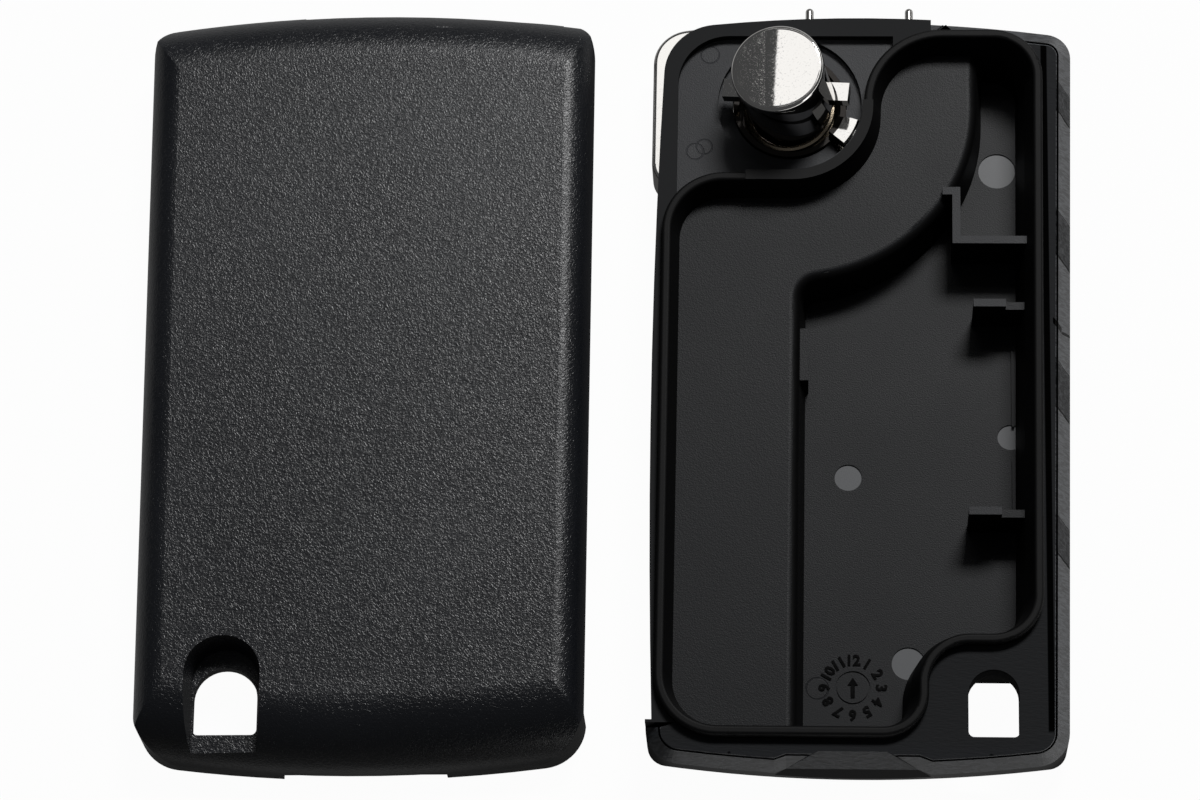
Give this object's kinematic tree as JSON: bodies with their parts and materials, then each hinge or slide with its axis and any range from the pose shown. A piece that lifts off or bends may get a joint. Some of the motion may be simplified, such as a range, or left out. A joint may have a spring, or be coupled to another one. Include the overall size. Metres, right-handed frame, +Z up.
{
  "type": "remote key case",
  "caption": "Plastic remote key case taken apart: chassis with chrome flip head and push button, and its back cover.",
  "frame": {"origin": "centre of the whole part's footprint, on the surface that both halves lie on", "axes": "+X from the back cover to the chassis, +Y towards the flip head end, +Z up out of the open chassis"},
  "size_m": [0.0816, 0.0722, 0.0146],
  "materials": {
    "cover_plastic": "fine grain, satin",
    "chassis_plastic": "fine spark finish",
    "head_chrome": "bright plated die casting",
    "button_chrome": "bright plated",
    "spring_steel": "drawn wire",
    "peg_steel": "ground"
  },
  "bodies": {
    "case": {"back_cover": "cover_plastic", "chassis": "chassis_plastic"},
    "head": {"flip_head": "head_chrome", "seat_peg_left": "peg_steel", "seat_peg_right": "peg_steel", "button_spring": "spring_steel"},
    "button": {"push_button": "button_chrome"}
  },
  "joints": [
    {"name": "head_flip", "type": "hinge", "parent": "case", "child": "head", "pos_m": [0.01597, 0.02508, 0], "axis": [0, 0, 1], "range_deg": [0, 180]},
    {"name": "button_press", "type": "slide", "parent": "head", "child": "button", "axis": [-0.1564, 0.0023, 0.9877], "range_m": [-0.0015, 0], "stiffness_N_per_m": 250, "deforming": ["button_spring"]}
  ]
}
